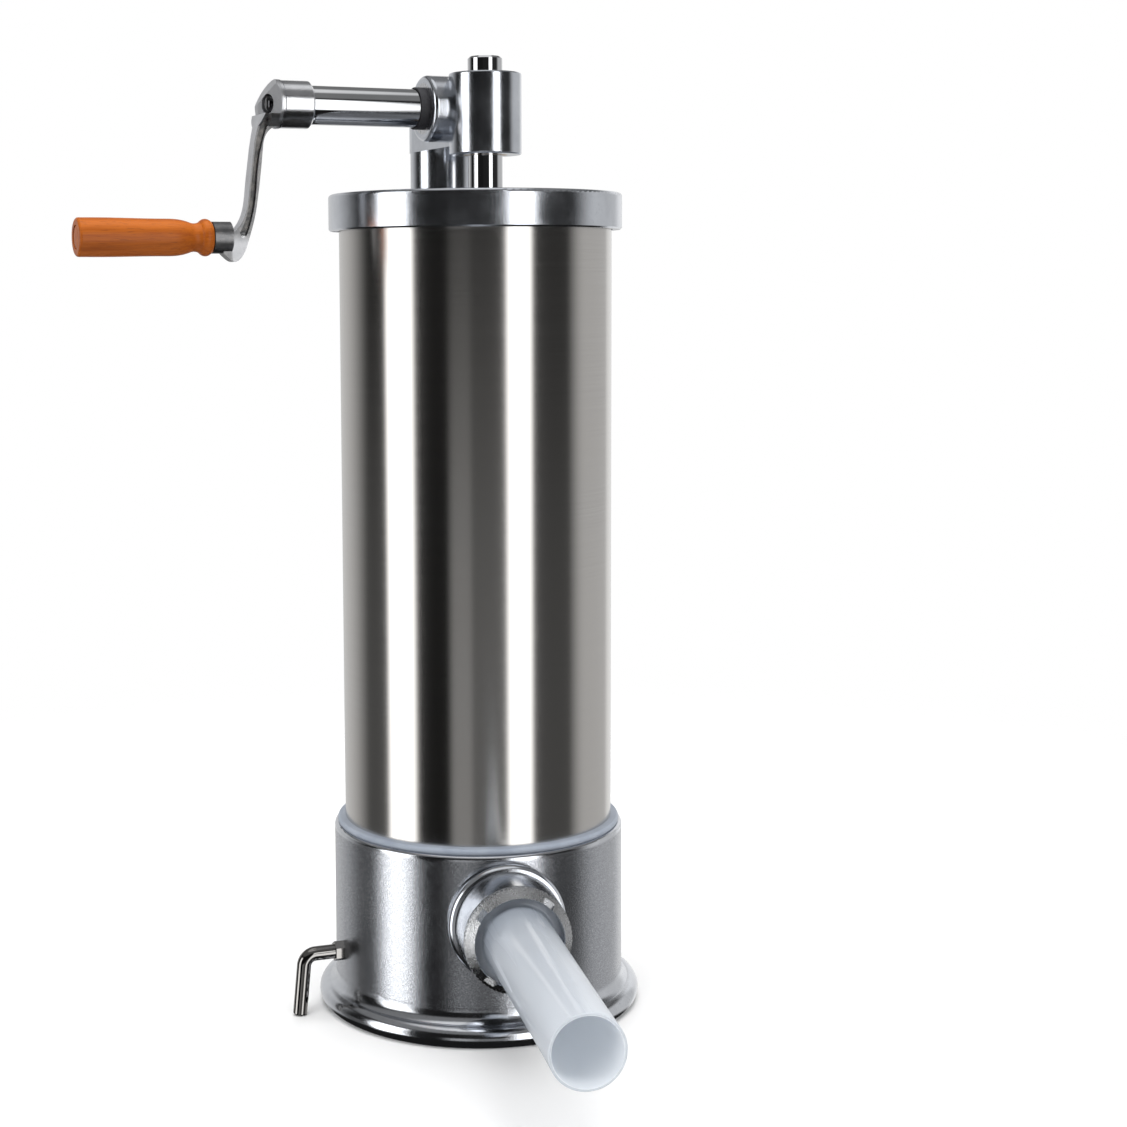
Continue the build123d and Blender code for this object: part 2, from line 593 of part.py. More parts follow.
with BuildPart() as crank_arm:
    # Side view: from the eye the band bends outwards, falls and ends in a toe under the ferrule.
    with BuildSketch(upright(SHAFT_Y - 20)):
        with BuildLine():
            outer = Spline((-121, SHAFT_Z + 14.4), (-125.2, SHAFT_Z + 7), (-129.6, SHAFT_Z - 3),
                           (-133.6, SHAFT_Z - 15), (-136.4, SHAFT_Z - 32), (-138.2, SHAFT_Z - 46),
                           (-141, SHAFT_Z - 62), (-147, SHAFT_Z - 71))
            foot = Polyline(outer @ 1, (-154, SHAFT_Z - 73), (-154, SHAFT_Z - 83.4))
            toe = Spline(foot @ 1, (-150.6, SHAFT_Z - 86.6), (-147, SHAFT_Z - 88.2), (-143.4, SHAFT_Z - 85.6),
                         (-139.6, SHAFT_Z - 77.5), (-135.8, SHAFT_Z - 65), (-132.8, SHAFT_Z - 48.2),
                         (-130.4, SHAFT_Z - 28), (-127.6, SHAFT_Z - 16.5), (-123, SHAFT_Z - 12.6))
            Polyline(toe @ 1, (EYE_BACK, SHAFT_Z - 12.4), (EYE_BACK, SHAFT_Z + 14.4), outer @ 0)
        make_face()
    extrude(amount=-40)
    # Front view: round at the eye, flaring from the narrow band.
    with BuildSketch(across(-100)):
        Circle(EYE_R)
        with BuildLine():
            flare = Spline((-9, -4), (-5.4, -12), (-ARM_WIDTH / 2, -24))
            sole = Polyline(flare @ 1, (-ARM_WIDTH / 2, -95), (ARM_WIDTH / 2, -95), (ARM_WIDTH / 2, -24))
            Spline(sole @ 1, (5.4, -12), (9, -4))
            Line((9, -4), (-9, -4))
        make_face()
    extrude(amount=60, mode=Mode.INTERSECT)
    # A shallow flute down both sides of the band.
    for side in (-1, 1):
        with BuildSketch(upright(SHAFT_Y + side * (ARM_WIDTH / 2 - FLUTE_DEPTH))):
            with BuildLine():
                c1 = Spline((-127.6, SHAFT_Z - 4.4), (-132.6, SHAFT_Z - 15.6), (-135.6, SHAFT_Z - 32.4),
                            (-137.4, SHAFT_Z - 46.4), (-140.2, SHAFT_Z - 62.6), (-144.4, SHAFT_Z - 72))
                c2 = Spline(c1 @ 1, (-142.6, SHAFT_Z - 75), (-137.4, SHAFT_Z - 65), (-134.3, SHAFT_Z - 48.2),
                            (-131.9, SHAFT_Z - 28), (-128.4, SHAFT_Z - 15.6), (-126.4, SHAFT_Z - 9))
                Line(c2 @ 1, c1 @ 0)
            make_face()
        extrude(amount=-side * 12, mode=Mode.SUBTRACT)
    # Hub sleeve behind the eye, with a turned groove between them.
    with BuildSketch(across(HUB_INNER)):
        Circle(HUB_R)
    extrude(amount=HUB_INNER - EYE_BACK)
    with BuildSketch(across(EYE_BACK)):
        Circle(EYE_R)
    extrude(amount=EYE_BACK - EYE_FACE)
    chamfer(crank_arm.edges().filter_by(GeomType.CIRCLE).filter_by(
        lambda e: abs(e.radius - HUB_R) < 0.01).sort_by(lambda e: -e.center().dot(HEAD_X))[0], 1.2)
    with BuildSketch(across(EYE_BACK)):
        Circle(EYE_R + 2)
        Circle(HUB_R - 0.7, mode=Mode.SUBTRACT)
    extrude(amount=0.7, mode=Mode.SUBTRACT)
    # Ferrule for the grip, with a rounded back.
    with BuildSketch(across(FERRULE_BACK, GRIP_Z)):
        Circle(FERRULE_R)
    extrude(amount=FERRULE_BACK - FERRULE_END)
    # The eye's face slants outwards to the back; the screw sits in a shallow spot face.
    with BuildSketch(level(0, 0, SHAFT_Z - 6)):
        Polygon((EYE_FACE, SHAFT_Y - EYE_R), (-128.2, SHAFT_Y + 9), (-129, SHAFT_Y + 20),
                (-145, SHAFT_Y + 20), (-145, SHAFT_Y - EYE_R), align=None)
    extrude(amount=24, mode=Mode.SUBTRACT)
    with BuildSketch(across(SCREW_SEAT)):
        Circle(SEAT_CUT_R)
    extrude(amount=20, mode=Mode.SUBTRACT)
    with BuildSketch(across(HUB_INNER)):
        Circle(HUB_SHAFT_R)
        with Locations((0, HUB_SHAFT_R)):
            Rectangle(KEY, KEY_HIGH)
    extrude(amount=HUB_INNER - HUB_FACE - 4, mode=Mode.SUBTRACT)
    with BuildSketch(across(HUB_FACE + 4)):
        Circle(3)
    extrude(amount=20, mode=Mode.SUBTRACT)
    with BuildSketch(across(-141, GRIP_Z)):
        Circle(4)
    extrude(amount=30, mode=Mode.SUBTRACT)
save(crank_arm, "crank_arm")

dome_screw(across(SCREW_SEAT), 5.1, 4.0, 3, 15, "crank_screw")

# ---- grip ---------------------------------------------------------------------------
GRIP_START = FERRULE_END - 0.5
SPINDLE_R = 4.0
SPINDLE_HEAD = GRIP_END + 7

with BuildPart() as grip_spindle:
    with BuildSketch(across(-141, GRIP_Z)):
        Circle(SPINDLE_R)
    extrude(amount=-141 - SPINDLE_HEAD)
    with BuildSketch(across(SPINDLE_HEAD, GRIP_Z)):
        Circle(6.2)
    extrude(amount=3.5)
    with BuildSketch(across(SPINDLE_HEAD - 3.5, GRIP_Z)):
        Rectangle(12, 1.4)
    extrude(amount=-1.5, mode=Mode.SUBTRACT)
save(grip_spindle, "grip_spindle")

GRIP_SECTION = Plane(origin=head_point(0, SHAFT_Y, GRIP_Z), x_dir=HEAD_X, z_dir=-HEAD_Y)

with BuildPart() as grip:
    with BuildSketch(GRIP_SECTION):
        with BuildLine():
            w1 = Line((GRIP_START, SPINDLE_R + RUNNING), (GRIP_START, 8.8))
            w2 = ThreePointArc(w1 @ 1, (GRIP_START - 3.4, 10.4), (GRIP_START - 6.6, 8.6))
            w3 = ThreePointArc(w2 @ 1, (GRIP_START - 8.4, 8.0), (GRIP_START - 12, 8.3))
            w4 = Spline(w3 @ 1, (GRIP_START - 18, 9.9), (GRIP_START - 28, 10.35), (GRIP_END + 14, 10.8),
                        (GRIP_END + 1.6, 10.75))
            w5 = ThreePointArc(w4 @ 1, (GRIP_END + 0.45, 10.3), (GRIP_END, 9.2))
            w6 = Polyline(w5 @ 1, (GRIP_END, 6.6), (SPINDLE_HEAD + 0.4, 6.6),
                          (SPINDLE_HEAD + 0.4, SPINDLE_R + RUNNING))
            Line(w6 @ 1, w1 @ 0)
        make_face()
    revolve(axis=Axis(GRIP_SECTION.origin, HEAD_X))
save(grip, "grip")

# ---- rod and piston -----------------------------------------------------------------
RACK_FOOT_Z = SHAFT_Z - STROKE - 12
RACK_TOP_Z = SHAFT_Z + 14
ROD_FOOT_Z = PISTON_FOOT_Z + PISTON_THICK
STUD_R = 6.0

with BuildPart() as rack_rod:
    with BuildSketch(level(0, ROD_Y, ROD_FOOT_Z)):
        Circle(ROD_R)
    extrude(amount=ROD_TOP_Z - ROD_FOOT_Z)
    chamfer(rack_rod.faces().sort_by(Axis.Z)[-1].edges(), 1.2)
    with BuildSketch(level(0, ROD_Y, PISTON_FOOT_Z - 8)):
        Circle(STUD_R)
    extrude(amount=8 + PISTON_THICK)
    # Rack teeth: a milled flat, then trapezoid gaps, one of them level with the shaft.
    flat = RACK_LINE + 0.9 * MODULE
    root = RACK_LINE - 1.2 * MODULE
    slope = tan(radians(PRESSURE_ANGLE))
    gap_half = PITCH / 4 + BACKLASH / 2
    lowest = -int((SHAFT_Z - RACK_FOOT_Z) / PITCH)
    highest = int((RACK_TOP_Z - SHAFT_Z) / PITCH)
    comb = []
    for gap in range(lowest, highest + 1):
        middle = SHAFT_Z + gap * PITCH
        wide = gap_half + (flat - RACK_LINE) * slope
        narrow = gap_half - (RACK_LINE - root) * slope
        comb += [(flat, middle - wide), (root, middle - narrow), (root, middle + narrow), (flat, middle + wide)]
    with BuildSketch(Plane(origin=head_point(-12, ROD_Y, 0), x_dir=HEAD_Y, z_dir=HEAD_X)):
        with BuildLine():
            Polyline((ROD_R + 2, comb[0][1]), *comb, (ROD_R + 2, comb[-1][1]), close=True)
        make_face()
    extrude(amount=24, mode=Mode.SUBTRACT)
save(rack_rod, "rack_rod")

SEAL_LOW = PISTON_FOOT_Z + 3
SEAL_HIGH = PISTON_FOOT_Z + 9
SEAL_R = TUBE_R - TUBE_WALL - 0.3

with BuildPart() as piston_disc:
    with BuildSketch(Plane.XY.offset(PISTON_FOOT_Z)):
        Circle(PISTON_R)
    extrude(amount=PISTON_THICK)
    chamfer(piston_disc.edges(), 1)
    with BuildSketch(level(0, ROD_Y, ROD_FOOT_Z)):
        Circle(17)
        Circle(ROD_R, mode=Mode.SUBTRACT)
    extrude(amount=10)
    with BuildSketch(level(0, ROD_Y, PISTON_FOOT_Z)):
        Circle(STUD_R)
    extrude(amount=PISTON_THICK, mode=Mode.SUBTRACT)
    with BuildSketch(Plane.XY.offset(SEAL_LOW)):
        Circle(PISTON_R + 1)
        Circle(73.5, mode=Mode.SUBTRACT)
    extrude(amount=SEAL_HIGH - SEAL_LOW, mode=Mode.SUBTRACT)
    with BuildSketch(level(0, 42, PISTON_FOOT_Z)):
        Circle(5)
    extrude(amount=PISTON_THICK, mode=Mode.SUBTRACT)
save(piston_disc, "piston_disc")

ring_on(Plane.XY.offset(SEAL_LOW), SEAL_R, 73.5, SEAL_HIGH - SEAL_LOW, "piston_seal")
ring_on(level(0, ROD_Y, PISTON_FOOT_Z - 2), 13, STUD_R, 2, "piston_washer")

with BuildPart() as piston_nut:
    with BuildSketch(level(0, ROD_Y, PISTON_FOOT_Z - 8)):
        RegularPolygon(10.5, 6)
        Circle(STUD_R, mode=Mode.SUBTRACT)
    extrude(amount=6)
save(piston_nut, "piston_nut")

with BuildPart() as air_valve:
    with BuildSketch(level(0, 42, PISTON_FOOT_Z)):
        Circle(5)
    extrude(amount=PISTON_THICK)
    with BuildSketch(level(0, 42, PISTON_FOOT_Z + PISTON_THICK)):
        Circle(8)
    extrude(amount=2)
    with BuildSketch(level(0, 42, PISTON_FOOT_Z + 3)):
        Circle(1.8)
    extrude(amount=PISTON_THICK, mode=Mode.SUBTRACT)
save(air_valve, "air_valve")
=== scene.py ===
import json
from math import cos, pi, radians, sin

import bmesh
import bpy
from mathutils import Matrix, Vector


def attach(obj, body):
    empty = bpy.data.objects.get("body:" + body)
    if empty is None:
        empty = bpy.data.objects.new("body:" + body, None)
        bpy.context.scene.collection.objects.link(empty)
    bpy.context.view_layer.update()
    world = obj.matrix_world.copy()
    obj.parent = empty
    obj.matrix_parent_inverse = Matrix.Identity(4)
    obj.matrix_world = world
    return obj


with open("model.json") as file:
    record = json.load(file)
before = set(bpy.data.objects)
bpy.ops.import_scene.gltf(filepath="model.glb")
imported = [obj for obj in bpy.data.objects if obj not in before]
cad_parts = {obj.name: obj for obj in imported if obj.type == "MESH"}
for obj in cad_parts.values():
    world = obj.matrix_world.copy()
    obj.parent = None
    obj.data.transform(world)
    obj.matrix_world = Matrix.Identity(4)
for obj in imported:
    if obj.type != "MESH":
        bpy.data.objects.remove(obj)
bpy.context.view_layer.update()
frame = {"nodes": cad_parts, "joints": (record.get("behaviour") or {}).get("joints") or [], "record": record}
NODES = frame["nodes"]
SCENE = bpy.context.scene

HEAD_TURN = radians(14.0)     # the drive head stands turned about Z by this angle
OUTLET_HEIGHT = 0.0717        # axis of the outlet above the floor

# Where one finish, or the painted shade on the crank arm, fades into the next, from its first value to its
# last.
# Heights above the floor on the base and the arm; the rest run along the crank shaft or the outlet.
FOOT_RING_TOP = (0.0165, 0.0200)
RIM_UNDERSIDE = (0.1070, 0.1050)
EYE_BOTTOM = (0.5275, 0.5250)
ARM_TOE = (0.4600, 0.4520)
HUB_FRONT = (-0.1195, -0.1215)
EYE_BACK = (-0.1215, -0.1225)
# Along the shaft: where the painted shadow on the crank arm's outer face starts, by the ferrule.
FERRULE = (-0.1475, -0.1500)
NUT_RIM_BACK = (0.1192, 0.1198)
TUBE_ROOT = (0.175, 0.118)
ARM_MIDDLE = 0.0045           # plane of the crank arm, square to the shaft's line
FLUTE_EDGE = (0.0030, 0.0038)
TUBE_BORE_R = 0.0179
TUBE_BORE_START = 0.125

# ---- camera ----------------------------------------------------------------------------
CAMERA_PLACE = (-0.2117, -1.1650, 0.4281)
CAMERA_HEADING = radians(9.29)     # from +Y towards +X
CAMERA_PITCH = radians(5.752)      # below the horizon
CAMERA_ROLL = radians(-0.386)
LENS = 63.82
SENSOR = 36.0
SHIFT = (0.1084, -0.0666)


def make_camera():
    data = bpy.data.cameras.new("camera")
    data.lens, data.sensor_width = LENS, SENSOR
    data.shift_x, data.shift_y = SHIFT
    data.clip_start, data.clip_end = 0.05, 60.0
    camera = bpy.data.objects.new("camera", data)
    turn = (Matrix.Rotation(-CAMERA_HEADING, 4, "Z")
            @ Matrix.Rotation(pi / 2 - CAMERA_PITCH, 4, "X")
            @ Matrix.Rotation(CAMERA_ROLL, 4, "Z"))
    camera.matrix_world = Matrix.Translation(CAMERA_PLACE) @ turn
    SCENE.collection.objects.link(camera)
    SCENE.camera = camera


# ---- node helpers ----------------------------------------------------------------------
class Tree:
    """Adds nodes to one node tree and links them as they are made."""

    def __init__(self, tree):
        self.tree = tree
        tree.nodes.clear()

    def node(self, kind, inputs=None, **settings):
        made = self.tree.nodes.new(kind)
        for key, value in settings.items():
            setattr(made, key, value)
        for key, value in (inputs or {}).items():
            self.put(made.inputs[key], value)
        return made

    def put(self, socket, value):
        if isinstance(value, bpy.types.NodeSocket):
            self.tree.links.new(value, socket)
        else:
            socket.default_value = value

    def math(self, operation, a, b=0.0):
        return self.node("ShaderNodeMath", {0: a, 1: b}, operation=operation).outputs[0]

    def remap(self, value, low, high, to_low=0.0, to_high=1.0, smooth=False):
        kind = "SMOOTHSTEP" if smooth else "LINEAR"
        return self.node("ShaderNodeMapRange",
                         {"Value": value, "From Min": low, "From Max": high,
                          "To Min": to_low, "To Max": to_high},
                         interpolation_type=kind).outputs["Result"]

    def mix(self, factor, a, b, blend="MIX"):
        made = self.node("ShaderNodeMix", data_type="RGBA", blend_type=blend)
        self.put(made.inputs["Factor"], factor)
        self.put(made.inputs["A"], a)
        self.put(made.inputs["B"], b)
        return made.outputs["Result"]

    def place(self, scale=(1, 1, 1), turn=(0, 0, 0)):
        """Object coordinates, turned first and then scaled."""
        at = self.node("ShaderNodeTexCoord").outputs["Object"]
        turned = self.node("ShaderNodeMapping", {"Vector": at, "Rotation": turn}).outputs[0]
        return self.node("ShaderNodeMapping", {"Vector": turned, "Scale": scale}).outputs[0]

    def noise(self, at, scale, detail=3.0, roughness=0.5, distortion=0.0):
        return self.node("ShaderNodeTexNoise",
                         {"Vector": at, "Scale": scale, "Detail": detail,
                          "Roughness": roughness, "Distortion": distortion}).outputs["Fac"]

    def cells(self, at, scale):
        return self.node("ShaderNodeTexVoronoi",
                         {"Vector": at, "Scale": scale}).outputs["Distance"]

    def bump(self, height, strength, distance):
        return self.node("ShaderNodeBump", {"Height": height, "Strength": strength,
                                            "Distance": distance}).outputs[0]

    def axes(self, at):
        """The X, Y and Z sockets of a vector."""
        return self.node("ShaderNodeSeparateXYZ", {0: at}).outputs

    def out(self, shader):
        self.node("ShaderNodeOutputMaterial", {"Surface": shader})


def new_material(name):
    made = bpy.data.materials.new(name)
    made.use_nodes = True
    return made, Tree(made.node_tree)


def finish_material(t, **inputs):
    """Principled shader with these inputs, joined to the output."""
    shader = t.node("ShaderNodeBsdfPrincipled")
    for key, value in inputs.items():
        t.put(shader.inputs[key.replace("_", " ")], value)
    t.out(shader.outputs[0])


def rgb(r, g, b):
    return (r, g, b, 1.0)


# ---- materials -------------------------------------------------------------------------
def brushed_stainless():
    """Fine brushing round the cylinder, so reflections smear along its height."""
    made, t = new_material("brushed_stainless")
    fine = t.noise(t.place((14, 14, 7000)), 1.0, 2.0, 0.6)
    broad = t.noise(t.place((5, 5, 1500)), 1.0, 3.0, 0.6)
    patch = t.noise(t.place((6, 6, 14)), 1.0, 2.0)
    lines = t.math("ADD", t.math("MULTIPLY", fine, 0.65), t.math("MULTIPLY", broad, 0.35))
    colour = t.mix(t.remap(lines, 0.35, 0.65), rgb(0.56, 0.545, 0.525), rgb(0.64, 0.625, 0.605))
    colour = t.mix(t.remap(patch, 0.35, 0.7), colour, rgb(0.60, 0.58, 0.555))
    finish_material(
        t, Base_Color=colour, Metallic=1.0,
        Roughness=t.remap(lines, 0.3, 0.7, 0.17, 0.24),
        Anisotropic=0.8, Anisotropic_Rotation=0.25,
        Tangent=t.node("ShaderNodeTangent", direction_type="RADIAL", axis="Z").outputs[0],
        Normal=t.bump(lines, 0.08, 0.00004))
    return made


def cast_surface(t, tint, rough, pits, streaks):
    """Colour, roughness and height of a casting that has been fettled and polished."""
    at = t.place()
    cloud = t.noise(at, 38.0, 5.0, 0.6)
    sand = t.noise(at, 1300.0, 3.0, 0.7)
    streak = t.noise(t.place((60, 60, 900)), 1.0, 3.0, 0.6)
    scuff = t.noise(t.place((700, 700, 45), (0.3, 0.2, 0.0)), 1.0, 2.0, 0.6)
    pit = t.remap(t.cells(at, 420.0), 0.0, 0.22)
    where = t.remap(t.noise(at, 95.0, 2.0), 0.52, 0.62)
    pitted = t.math("MULTIPLY", t.math("SUBTRACT", 1.0, pit), where)
    height = t.math("ADD", t.math("MULTIPLY", streak, streaks),
                    t.math("MULTIPLY", scuff, streaks * 0.6))
    height = t.math("SUBTRACT", height, t.math("MULTIPLY", pitted, pits))
    height = t.math("ADD", height, t.math("MULTIPLY", sand, 0.85))
    dark = tuple(c * 0.82 for c in tint[:3]) + (1.0,)
    colour = t.mix(t.remap(cloud, 0.35, 0.68), dark, tint)
    colour = t.mix(t.math("MULTIPLY", pitted, 0.5), colour, rgb(0.20, 0.20, 0.21))
    worn = t.math("ADD", cloud, t.math("MULTIPLY", scuff, 0.35))
    return colour, t.remap(worn, 0.4, 1.0, rough * 0.75, rough * 1.5), height


def cast_aluminium(name, tint, rough, pits, streaks):
    made, t = new_material(name)
    colour, roughness, height = cast_surface(t, tint, rough, pits, streaks)
    finish_material(t, Base_Color=colour, Metallic=1.0, Roughness=roughness,
                    Normal=t.bump(height, 0.3, 0.00010))
    return made


def base_aluminium():
    """Satin, grainy wall between a polished foot ring and a polished rim."""
    made, t = new_material("base_aluminium")
    bright, smooth, height = cast_surface(t, rgb(0.77, 0.795, 0.84), 0.13, 0.4, 0.3)
    z = t.axes(t.place())["Z"]
    wall = t.math("MULTIPLY", t.remap(z, *FOOT_RING_TOP, smooth=True),
                  t.remap(z, *RIM_UNDERSIDE, smooth=True))
    polished = t.math("SUBTRACT", 1.0, wall)
    grain = t.noise(t.place(), 1500.0, 2.0, 0.7)
    mottle = t.noise(t.place((26, 26, 16)), 1.0, 3.0, 0.5)
    satin = t.mix(t.remap(mottle, 0.35, 0.68), rgb(0.36, 0.375, 0.405), rgb(0.44, 0.455, 0.485))
    satin = t.mix(t.math("MULTIPLY", t.remap(grain, 0.42, 0.70), 0.6), satin,
                  rgb(0.84, 0.86, 0.90))
    relief = t.math("ADD", t.math("MULTIPLY", height, polished),
                    t.math("MULTIPLY", t.math("MULTIPLY", grain, wall), 1.9))
    finish_material(
        t, Base_Color=t.mix(wall, bright, satin), Metallic=1.0,
        Roughness=t.math("ADD", t.math("MULTIPLY", smooth, polished),
                         t.math("MULTIPLY", t.remap(mottle, 0.3, 0.7, 0.20, 0.25), wall)),
        Normal=t.bump(relief, 0.35, 0.00010))
    return made


def forward(t):
    """Distance towards the outlet's mouth, which points along -Y."""
    return t.math("MULTIPLY", t.axes(t.place())["Y"], -1.0)


def head_axes(t):
    """Object coordinates along the crank shaft and square to it."""
    at = t.node("ShaderNodeTexCoord").outputs["Object"]
    return t.axes(t.node("ShaderNodeMapping", {"Vector": at,
                                               "Rotation": (0, 0, -HEAD_TURN)}).outputs[0])


def arm_aluminium():
    """A polished hub and a satin arm, with painted shade darkening its fluted sides and a painted shadow on
    its face by the ferrule; these places are also rough.
    """
    made, t = new_material("arm_aluminium")
    bright, _, height = cast_surface(t, rgb(0.86, 0.87, 0.90), 0.18, 0.5, 0.35)
    x, y, z = head_axes(t)
    off_middle = t.math("ABSOLUTE", t.math("SUBTRACT", y, ARM_MIDDLE))
    band = t.math("MULTIPLY", t.remap(z, *EYE_BOTTOM, smooth=True), t.remap(x, *EYE_BACK))
    inner, outer = FLUTE_EDGE
    flute = t.math("MULTIPLY", band, t.remap(off_middle, outer, inner, smooth=True))
    rim = t.math("MULTIPLY", band, t.remap(off_middle, inner, outer, smooth=True))
    side = t.math("ABSOLUTE", t.node("ShaderNodeVectorMath", {
        0: t.node("ShaderNodeTexCoord").outputs["Normal"],
        1: (-sin(HEAD_TURN), cos(HEAD_TURN), 0.0)}, operation="DOT_PRODUCT").outputs["Value"])
    sideways = t.remap(side, 0.6, 0.85)
    toe = t.remap(z, *ARM_TOE, smooth=True)
    # Painted shade: the fluted sides and their rims are darkened, less so at the toe, and the arm past the
    # ferrule line gets a painted shadow.
    painted_shade_mask = t.math("MULTIPLY", sideways, t.math("ADD", flute, t.math("MULTIPLY", rim, 0.80)))
    painted_shade_mask = t.math("MULTIPLY", painted_shade_mask, t.math("SUBTRACT", 1.0, t.math("MULTIPLY", toe, 0.6)))
    ferrule = t.remap(x, *FERRULE, smooth=True)
    painted_shade_mask = t.math("MAXIMUM", painted_shade_mask, t.math("MULTIPLY", ferrule, 0.75))
    # Dark mottled colour of the painted shade and shadow; the same mottle roughens those places.
    dark_mottle = t.noise(t.place(), 260.0, 4.0, 0.7)
    painted_shade_colour = t.mix(t.remap(dark_mottle, 0.4, 0.65), rgb(0.085, 0.085, 0.085), rgb(0.19, 0.18, 0.17))
    relief = t.math("ADD", height, t.math("MULTIPLY", t.math("MULTIPLY", dark_mottle, painted_shade_mask), 2.0))
    finish_material(
        t, Base_Color=t.mix(painted_shade_mask, bright, painted_shade_colour), Metallic=1.0,
        Roughness=t.remap(x, *HUB_FRONT, 0.18, 0.40), Normal=t.bump(relief, 0.4, 0.00012))
    return made


def nut_aluminium():
    """Polished skirt; the rim and the conical face sparkle with fine tool marks."""
    made, t = new_material("nut_aluminium")
    bright, smooth, height = cast_surface(t, rgb(0.79, 0.815, 0.855), 0.12, 0.2, 0.2)
    face = t.remap(forward(t), *NUT_RIM_BACK)
    grain = t.cells(t.place(), 1500.0)
    fine = t.noise(t.place(), 2200.0, 3.0, 0.7)
    rough_height = t.math("MULTIPLY", t.math("ADD", grain, fine), face)
    sparkle = t.mix(t.remap(fine, 0.35, 0.65), rgb(0.40, 0.41, 0.42), rgb(0.84, 0.85, 0.87))
    finish_material(
        t, Base_Color=t.mix(face, bright, sparkle), Metallic=1.0,
        Roughness=t.math("ADD", smooth, t.math("MULTIPLY", face, 0.14)),
        Normal=t.bump(t.math("ADD", height, t.math("MULTIPLY", rough_height, 2.5)), 0.5, 0.00010))
    return made


def chrome(name, tint, rough):
    made, t = new_material(name)
    haze = t.noise(t.place((30, 30, 30)), 1.0, 4.0, 0.6)
    fine = t.noise(t.place(), 900.0, 2.0)
    low = tuple(c * 0.90 for c in tint[:3]) + (1.0,)
    finish_material(
        t, Base_Color=t.mix(t.remap(haze, 0.35, 0.7), low, tint), Metallic=1.0,
        Roughness=t.remap(haze, 0.35, 0.7, rough * 0.7, rough * 1.4),
        Normal=t.bump(fine, 0.05, 0.00003))
    return made


def turned(name, tint, rough):
    """Machined metal with a fine sparkle of tool marks."""
    made, t = new_material(name)
    marks = t.noise(t.place((260, 2600, 260)), 1.0, 3.0, 0.7)
    grains = t.cells(t.place(), 900.0)
    low = tuple(c * 0.72 for c in tint[:3]) + (1.0,)
    height = t.math("ADD", marks, t.math("MULTIPLY", grains, 0.5))
    finish_material(
        t, Base_Color=t.mix(t.remap(marks, 0.35, 0.65), low, tint), Metallic=1.0,
        Roughness=t.remap(marks, 0.35, 0.65, rough * 0.7, rough * 1.3),
        Normal=t.bump(height, 0.5, 0.00012))
    return made


def milky_plastic():
    """Thin milky polypropylene: light passes through the wall and greys at the root; inside the bore it is
    painted paler, a painted glow for the light that comes through the wall.
    """
    made, t = new_material("milky_plastic")
    cloud = t.noise(t.place((14, 5, 14)), 1.0, 3.0, 0.55)
    streak = t.noise(t.place((140, 6, 140)), 1.0, 2.0)
    out = forward(t)
    colour = t.mix(t.remap(cloud, 0.35, 0.68), rgb(0.62, 0.655, 0.70), rgb(0.73, 0.76, 0.80))
    colour = t.mix(t.remap(out, *TUBE_ROOT, smooth=True), colour, rgb(0.42, 0.46, 0.52))
    skin = t.node("ShaderNodeBsdfPrincipled")
    for key, value in {"Base Color": colour, "Roughness": t.remap(streak, 0.3, 0.7, 0.22, 0.30),
                       "IOR": 1.49, "Coat Weight": 0.6, "Coat Roughness": 0.12,
                       "Normal": t.bump(streak, 0.06, 0.0002)}.items():
        t.put(skin.inputs[key], value)
    through = t.node("ShaderNodeBsdfTranslucent", {"Color": colour})
    both = t.node("ShaderNodeMixShader", {0: 0.35, 1: skin.outputs[0], 2: through.outputs[0]})
    # Painted light: the bore's inside is a paler, plainer copy of the plastic, standing for light that
    # shines through the thin wall.
    pale = t.node("ShaderNodeBsdfDiffuse", {"Color": rgb(0.93, 0.95, 0.97)}).outputs[0]
    glow = t.node("ShaderNodeBsdfTranslucent", {"Color": rgb(0.93, 0.95, 0.97)}).outputs[0]
    inside = t.node("ShaderNodeMixShader", {0: 0.5, 1: pale, 2: glow}).outputs[0]
    x, _, z = t.axes(t.place())
    z = t.math("SUBTRACT", z, OUTLET_HEIGHT)
    radius = t.math("SQRT", t.math("ADD", t.math("MULTIPLY", x, x), t.math("MULTIPLY", z, z)))
    bore = t.math("MULTIPLY", t.math("LESS_THAN", radius, TUBE_BORE_R),
                  t.math("GREATER_THAN", out, TUBE_BORE_START))
    whole = t.node("ShaderNodeMixShader", {0: bore, 1: both.outputs[0], 2: inside})
    t.out(whole.outputs[0])
    return made


def silicone():
    made, t = new_material("silicone")
    cloud = t.noise(t.place(), 55.0, 4.0, 0.6)
    fine = t.noise(t.place(), 1400.0, 2.0)
    colour = t.mix(t.remap(cloud, 0.35, 0.68), rgb(0.27, 0.305, 0.365), rgb(0.35, 0.385, 0.445))
    finish_material(
        t, Base_Color=colour, Roughness=t.remap(cloud, 0.3, 0.7, 0.32, 0.48), IOR=1.43,
        Subsurface_Weight=0.2, Subsurface_Scale=0.002, Subsurface_Radius=(1.0, 1.0, 1.0),
        Normal=t.bump(fine, 0.15, 0.00005))
    return made


def dark_rubber():
    made, t = new_material("dark_rubber")
    fine = t.noise(t.place(), 1100.0, 3.0)
    finish_material(
        t, Base_Color=t.mix(fine, rgb(0.018, 0.018, 0.02), rgb(0.045, 0.045, 0.05)),
        Roughness=t.remap(fine, 0.3, 0.7, 0.55, 0.75), Normal=t.bump(fine, 0.2, 0.00006))
    return made


